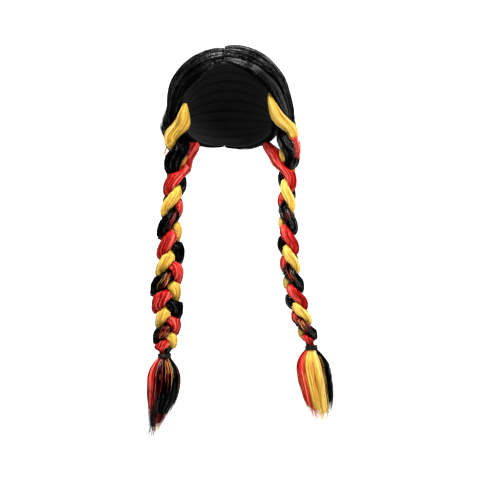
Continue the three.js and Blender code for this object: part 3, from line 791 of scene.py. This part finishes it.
def strand_points(side, colour, z, around, lift=0.0, gap=0.15):
    """Points on a strand's surface, kept to its own side of the other two strands."""
    centre, axis, width, depth, _ = strand_at(side, colour, z)
    lean = strand_at(side, colour, z - 1)[0] - centre
    way = np.stack([np.cos(around), np.sin(around)], -1)
    wide = np.einsum("ikj,ij->ik", way, axis) / width[:, None]
    deep = (way[..., 0] * axis[:, None, 1] - way[..., 1] * axis[:, None, 0]) / depth[:, None]
    slant = np.sqrt(1 + np.einsum("ikj,ij->ik", way, lean) ** 2)
    full = slant / np.sqrt(wide**2 + deep**2)
    near = np.full(around.shape, np.inf)
    for reach in (-2.0, 0, 2.0):
        own = strand_at(side, colour, z + reach)
        for other in strands:
            if other == colour:
                continue
            neighbour = strand_at(side, other, z + reach)
            apart = neighbour[0] - own[0]
            distance = np.linalg.norm(apart, axis=-1)
            facing = np.einsum("ikj,ij->ik", way, apart / distance[:, None])
            part = own[2] / (own[2] + neighbour[2])
            limit = np.maximum(distance * part - gap, 0.3)[:, None]
            there = (neighbour[4] & own[4])[:, None] & (facing > 0.01)
            near = np.minimum(near, np.where(there, limit / np.maximum(facing, 0.01), np.inf))
    radius = (full**-8.0 + near**-8.0) ** -0.125 + lift
    flat = centre[:, None, :] + way * radius[..., None]
    return np.concatenate([flat, np.broadcast_to(z[:, None, None], (*around.shape, 1))], -1)


def stack_faces(rings, corners):
    """Faces of a stack of rings with a fan over each end."""
    faces = []
    for i in range(rings - 1):
        for k in range(corners):
            a, b = i * corners + k, i * corners + (k + 1) % corners
            faces.append((a, b, b + corners, a + corners))
    top, bottom, last = rings * corners, rings * corners + 1, (rings - 1) * corners
    for k in range(corners):
        after = (k + 1) % corners
        faces.append((top, after, k))
        faces.append((bottom, last + k, last + after))
    return faces


def add_stacks(name, stacks, colour, nodes):
    """One piece made of stacks of rings, each (rings, corners, 3), with its own run of fibre."""
    points, faces, lays, flows = [], [], [], []
    first = 0
    for order, rings in enumerate(stacks):
        count, corners = rings.shape[:2]
        points.append(np.concatenate([rings.reshape(-1, 3), [rings[0].mean(0)], [rings[-1].mean(0)]]))
        faces += [tuple(first + v for v in face) for face in stack_faces(count, corners)]
        first += count * corners + 2
        about = np.linspace(0, 2 * np.pi, corners, endpoint=False)
        fallen = (rings[0, 0, 2] - rings[:, :1, 2]) * 0.05
        lay = np.stack(np.broadcast_arrays(9 * np.cos(about), 9 * np.sin(about) + 31 * order, fallen), -1)
        flow = grid_flow(rings)
        for values, kept in ((lay, lays), (flow, flows)):
            values = values.reshape(-1, 3)
            kept.append(np.concatenate([values, values[:1], values[-1:]]))
    mesh = closed_mesh(name, np.concatenate(points), faces)
    note_points(mesh, "lay", np.concatenate(lays), "FLOAT_VECTOR")
    note_points(mesh, "flow", np.concatenate(flows), "FLOAT_VECTOR")
    note_points(mesh, "tint", np.full(first, 0.4))
    return add_piece(name, mesh, hair_finishes[colour], nodes)


for number, side in enumerate(("left", "right")):
    bottom = gathers[side][2] - plait_ends[side]["length"] + 0.3
    last = float(crossings_above(side, np.array(bottom)))
    for order, colour in enumerate(strands):
        draw = np.random.default_rng(40 + 10 * number + order)
        top = -strands[colour][side][0]
        first = float(crossings_above(side, np.array(top)))
        body_z = height_of(side, np.linspace(first, last, 200))
        body_z[0], body_z[-1] = top, bottom
        turn = np.linspace(0, 2 * np.pi, 32, endpoint=False)
        around = np.broadcast_to(turn, (len(body_z), len(turn)))
        travelled = np.arange(len(body_z))[:, None] * 0.05
        furrows = (
            0.35 * np.cos(5 * around + travelled) + 0.3 * np.cos(9 * around - travelled + 1)
            + 0.2 * np.cos(14 * around + 2)
        )
        rings = strand_points(side, colour, body_z, around, furrows - 0.5)
        add_stacks(f"strand_{side}_{colour}", [rings], colour, [f"plait_{side}_{colour}"])

        fibres, steps = 112, 70
        fibre_z = height_of(side, np.linspace(first, last, steps))
        fibre_z[0], fibre_z[-1] = top, bottom
        root = draw.uniform(0, 2 * np.pi, fibres)
        angle = root + wander(draw, steps, fibres, 14) * 0.15
        off = 0.1 + 0.55 * wander(draw, steps, fibres, 20)
        add_fibres(
            f"strand_{side}_{colour}_fibres", strand_points(side, colour, fibre_z, angle, off),
            clumped(draw, root, 0.16), taper(steps, 0.02, 0.0), colour, radius=0.4, seed=7 + order,
        )


# Stray hair
# Loose fibres that left their own strand: red and yellow ones that lie on the black strands, the
# red puff beside the right plait, and the thin fuzz behind the ears.
stray_runs = {
    "left": [
        ("red", -262, 30, -68, 14, 9), ("red", -360, 30, -75, 24, 8), ("yellow", -362, 26, -85, 26, 6),
        ("red", -441, 30, -80, 30, 18), ("yellow", -446, 22, -80, 26, 3),
    ],
    "right": [
        ("red", -262, 24, -90, 25, 4), ("red", -352, 24, -90, 30, 6), ("yellow", -356, 18, -95, 25, 2),
        ("red", -426, 28, -95, 36, 18), ("yellow", -428, 24, -100, 30, 5),
    ],
}
for side, runs in stray_runs.items():
    for colour in ("red", "yellow"):
        draw = np.random.default_rng(70 + len(colour) + (side == "left"))
        steps = 12
        lines = []
        for _, top, run, middle, spread, count in (each for each in runs if each[0] == colour):
            for _ in range(count):
                z = top + draw.uniform(-5, 5) - np.linspace(0, run * draw.uniform(0.5, 1), steps)
                angle = np.radians(middle + draw.uniform(-spread, spread) + 6 * wander(draw, steps, 1, 3))
                lines.append(strand_points(side, "black", z, angle, 0.55))
        lines = np.concatenate(lines, axis=1)
        count = lines.shape[1]
        add_fibres(
            f"strays_{side}_{colour}", lines, 0.2 + 0.7 * draw.random(count), taper(steps, 0.3, 0.3), colour,
            radius=0.22, seed=13,
        )


def tuft_lines(draw, count, steps, path, spread):
    """Fibres round a path of points, spread most in the middle and drawn together at its ends."""
    path = np.array(path, float)
    at = np.linspace(0, len(path) - 1, steps)
    low = np.minimum(at.astype(int), len(path) - 2)
    t = (at - low)[:, None]
    before, after = path[np.maximum(low - 1, 0)], path[np.minimum(low + 2, len(path) - 1)]
    a, b = path[low], path[low + 1]
    middle = 0.5 * (
        2 * a + (b - before) * t + (2 * before - 5 * a + 4 * b - after) * t**2
        + (3 * a - before - 3 * b + after) * t**3
    )
    away = draw.normal(0, 1, (1, count, 3)) * spread * np.sin(np.linspace(0.25, 2.9, steps))[:, None, None]
    loose = np.stack([wander(draw, steps, count, 5) for _ in range(3)], -1) * spread * 0.35
    return middle[:, None, :] + away + loose


tufts = [
    ("red_puff_right", "red", 170,
     [(98, 2, -128), (107, -12, -142), (112, -18, -156), (110, -20, -170), (100, -18, -182)], 3.0),
    ("red_wisps_left", "red", 16, [(-98, 4, -150), (-102, -6, -160), (-103, -10, -168), (-98, -12, -180)], 0.9),
    ("ear_fuzz_left", "black", 120, [(-97, 4, -84), (-102, -2, -106), (-107, -4, -128), (-98, -4, -148)], 2.3),
    ("ear_fuzz_right", "black", 96, [(99, 4, -90), (104, -2, -108), (108, -4, -128), (102, -4, -142)], 2.0),
]
for order, (name, colour, count, path, spread) in enumerate(tufts):
    draw = np.random.default_rng(120 + order)
    steps = 16
    add_fibres(
        name, tuft_lines(draw, count, steps, path, spread), 0.2 + 0.7 * draw.random(count),
        taper(steps, 0.2, 0.4), colour, radius=0.16, frizz=1.2, frizz_scale=45, seed=17,
    )


# Hair ties
# A small black elastic cord on each side, wound round the end of the plait three times. Its
# braided sleeve shows as fine slanting ribs.
tie_seat = 1.05
tie_heights = {side: gathers[side][2] - plait_ends[side]["length"] for side in gathers}
tie_holes = {
    side: float(plait_girth(side, np.array(tie_heights[side])))
    * (weave_width + strand_width * strands["black"]["size"]) * neck_width + tie_seat
    for side in girths
}

elastic = bpy.data.materials.new("tie_elastic")
elastic.use_nodes = True
tree = elastic.node_tree
cloth = tree.nodes["Principled BSDF"]
cloth.inputs["Roughness"].default_value = 0.6
cloth.inputs["Specular IOR Level"].default_value = 0.1
lay = tree.nodes.new("ShaderNodeAttribute")
lay.attribute_name = "lay"
ribs = tree.nodes.new("ShaderNodeTexWave")
ribs.bands_direction = "DIAGONAL"
ribs.inputs["Scale"].default_value = 0.8
tree.links.new(lay.outputs["Vector"], ribs.inputs["Vector"])
shade = tree.nodes.new("ShaderNodeValToRGB")
shade.color_ramp.elements[0].color = (0.001, 0.001, 0.001, 1)
shade.color_ramp.elements[1].color = (0.012, 0.012, 0.013, 1)
tree.links.new(ribs.outputs["Fac"], shade.inputs["Fac"])
tree.links.new(shade.outputs["Color"], cloth.inputs["Base Color"])
relief = tree.nodes.new("ShaderNodeBump")
relief.inputs["Distance"].default_value = 0.0004
tree.links.new(ribs.outputs["Fac"], relief.inputs["Height"])
tree.links.new(relief.outputs["Normal"], cloth.inputs["Normal"])

for side, hole in tie_holes.items():
    draw = np.random.default_rng(90 + signs[side])
    middle = plait_middle(side, np.array(tie_heights[side]))
    turns, corners = 56, 12
    points, faces, lays = [], [], []
    for wrap in range(tie_wraps):
        tilt, tilt_way = draw.uniform(0.2, 0.7), draw.uniform(0, 2 * np.pi)
        around = np.linspace(0, 2 * np.pi, turns, endpoint=False)[:, None]
        about = np.linspace(0, 2 * np.pi, corners, endpoint=False)[None, :]
        reach = hole + tie_cord / 2 + tie_cord / 2 * np.cos(about)
        height = tie_cord * (wrap - 1) + tilt * np.cos(around - tilt_way) + tie_cord / 2 * np.sin(about)
        ring = np.stack(
            [middle[0] + reach * np.cos(around), middle[1] + reach * np.sin(around), tie_heights[side] + height],
            -1,
        )
        first = wrap * turns * corners
        for i in range(turns):
            for k in range(corners):
                a, b = i * corners + k, i * corners + (k + 1) % corners
                c, d = ((i + 1) % turns) * corners + (k + 1) % corners, ((i + 1) % turns) * corners + k
                faces.append((first + a, first + b, first + c, first + d))
        points.append(ring.reshape(-1, 3))
        lays.append(np.stack(np.broadcast_arrays(around * 10, about * 1.2, 0.0), -1).reshape(-1, 3))
    tie_mesh = closed_mesh(f"tie_{side}", np.concatenate(points), faces)
    note_points(tie_mesh, "lay", np.concatenate(lays), "FLOAT_VECTOR")
    add_piece(f"tie_{side}", tie_mesh, elastic, [f"hair_tie_{side}"])


# Tails
# The loose hair below each tie, the ends of the same three colours, in locks that fan out from the
# tie and taper to uneven, frayed tips. Some fibres of each colour stray into the locks beside it.
tail_forms = {
    "left": {"length": 128, "width": 28, "depth": 20, "swing": -18,
      "from": 0.3, "closing": 0.4, "taper": 0.55},
    "right": {"length": 116, "width": 27.5, "depth": 20, "swing": 17,
      "from": 0, "closing": 0.15, "taper": 0.3},
}
tail_locks = {
    "left": [
        ("red", -0.74, -0.2, 0.72, 0.4),
        ("red", -0.4, -0.62, 0.64, 0.28),
        ("black", -0.3, 0.15, 1, 0.5),
        ("black", 0.16, -0.4, 0.93, 0.48),
        ("black", 0.58, 0, 0.84, 0.46),
        ("yellow", 0.15, 0.72, 0.92, 0.36),
        ("yellow", 0.5, 0.6, 0.8, 0.3),
    ],
    "right": [
        ("red", -0.72, -0.1, 0.93, 0.4),
        ("red", -0.44, 0.42, 0.98, 0.4),
        ("yellow", -0.18, -0.44, 0.95, 0.4),
        ("yellow", 0.2, -0.4, 1, 0.42),
        ("black", 0.68, 0, 0.86, 0.4),
        ("black", 0.3, 0.5, 0.94, 0.42),
    ],
}
tail_strays = {
    "left": [
        ("black", 1, 90, 0.0, 1.04, 1.08), ("black", 0, 14, 0.3, 0.95, 1.08), ("red", 3, 10, 0.02, 0.5, 1.08),
        ("red", 2, 6, 0.02, 0.8, 1.08), ("yellow", 3, 4, 0.02, 0.42, 1.08), ("red", 3, 8, 0.7, 0.95, 1.08),
        ("yellow", 3, 4, 0.8, 0.97, 1.08), ("red", 4, 3, 0.1, 0.6, 1.08),
    ],
    "right": [
        ("black", 4, 90, 0.02, 1.0, 1.4), ("black", 3, 5, 0.35, 1.0, 1.08), ("black", 1, 5, 0.3, 0.9, 1.08),
        ("red", 2, 8, 0.15, 1.02, 1.08), ("red", 4, 4, 0.02, 0.8, 1.45), ("red", 3, 5, 0.05, 0.9, 1.08),
        ("yellow", 0, 4, 0.3, 1.0, 1.08), ("yellow", 4, 3, 0.1, 0.8, 1.4),
    ],
}
tail_neck, tail_spread, tail_flatness = 0.86, 0.8, 0.85


def lock_at(side, lock, z):
    """A lock's middle, its half size, and what that would be without its tapered end."""
    _, across, deep, reach, size = lock
    form = tail_forms[side]
    top = tie_heights[side] - 0.2
    share = (top - z) / form["length"]
    neck = plait_middle(side, np.array(top))
    neck_share = tail_neck * tie_holes[side] / form["width"]
    opened = 1 - (1 - np.clip(share / 0.3, 0, 1)) ** 2
    fan = blend_of(neck_share, 1, opened) * (1 - form["closing"] * ease(share, 0.4, 1))
    ending = round_up((reach - share) / (reach * form["taper"]))
    swing = form["swing"] * ease(share, form["from"], 1.1)
    centre = np.stack(
        [
            neck[0] + across * form["width"] * fan * tail_spread + swing,
            neck[1] + deep * form["depth"] * fan * tail_spread,
        ],
        -1,
    )
    full = size * form["width"] * fan
    return centre, np.maximum(full * ending, 0.5), full


def lock_fibres(draw, side, lock, count, steps, start, reach, about, out):
    """Fibres of a lock from one share of the tail's length to another."""
    form = tail_forms[side]
    span = np.linspace(0, 1, steps)[:, None]
    share = start + (reach - start) * span
    z = tie_heights[side] - 0.2 - form["length"] * share
    centre, size, full = lock_at(side, lock, z)
    size = np.maximum(size, 0.6 * full * ease(share, 0.3, 0.9))
    stray = wander(draw, steps, count, 5) * 1.5 * span
    frayed = 1 + 0.25 * ease(share, 0.8, 1.1)
    return np.stack(
        [
            centre[..., 0] + size * out * frayed * np.cos(about) + stray,
            centre[..., 1] + size * out * frayed * tail_flatness * np.sin(about) - stray * 0.6,
            z,
        ],
        -1,
    )


tail_steps = 24
for side, form in tail_forms.items():
    top = tie_heights[side] - 0.2
    for colour in strands:
        draw = np.random.default_rng(200 + 20 * (side == "left") + len(colour))
        stacks, lines, tints, girths_along = [], [], [], []
        for lock in (each for each in tail_locks[side] if each[0] == colour):
            levels, corners = 44, 20
            core = (*lock[:3], lock[3] * 0.9, lock[4])
            z = top - form["length"] * core[3] * np.linspace(0, 1, levels) ** 1.3
            centre, size, _ = lock_at(side, core, z)
            about = np.linspace(0, 2 * np.pi, corners, endpoint=False)
            furrow = 0.88 * (1 + 0.05 * np.cos(5 * about + z[:, None] * 0.05) + 0.04 * np.cos(8 * about))
            stacks.append(
                np.stack(
                    [
                        centre[:, :1] + size[:, None] * furrow * np.cos(about),
                        centre[:, 1:] + size[:, None] * furrow * tail_flatness * np.sin(about),
                        np.broadcast_to(z[:, None], (levels, corners)),
                    ],
                    -1,
                )
            )
            count = 76
            root = draw.uniform(0, 2 * np.pi, count)
            lines.append(
                lock_fibres(
                    draw, side, lock, count, tail_steps, 0.0, lock[3] * draw.uniform(0.78, 1.13, count),
                    root, np.sqrt(draw.uniform(0.55, 1.05, count)),
                )
            )
            tints.append(clumped(draw, root, 0.2))
            girths_along.append(np.ones(count))
        for _, host, count, start, end, out in (each for each in tail_strays[side] if each[0] == colour):
            lock = tail_locks[side][host]
            lines.append(
                lock_fibres(
                    draw, side, lock, count, tail_steps, start + draw.uniform(0, 0.06, count),
                    blend_of(start, end, draw.uniform(0.5, 1, count)),
                    np.radians(draw.uniform(-150, -30, count)), draw.uniform(0.98, out, count),
                )
            )
            tints.append(draw.uniform(0.15, 0.75, count))
            girths_along.append(np.full(count, 0.55))
        add_stacks(f"tail_{side}_{colour}_locks", stacks, colour, [f"tail_{side}_{colour}"])
        lines = np.concatenate(lines, axis=1)
        add_fibres(
            f"tail_{side}_{colour}_fibres", lines, np.concatenate(tints),
            taper(tail_steps, 0.0, 0.3) * np.concatenate(girths_along), colour,
            radius=0.42, frizz=1.6, frizz_scale=50, seed=11,
        )
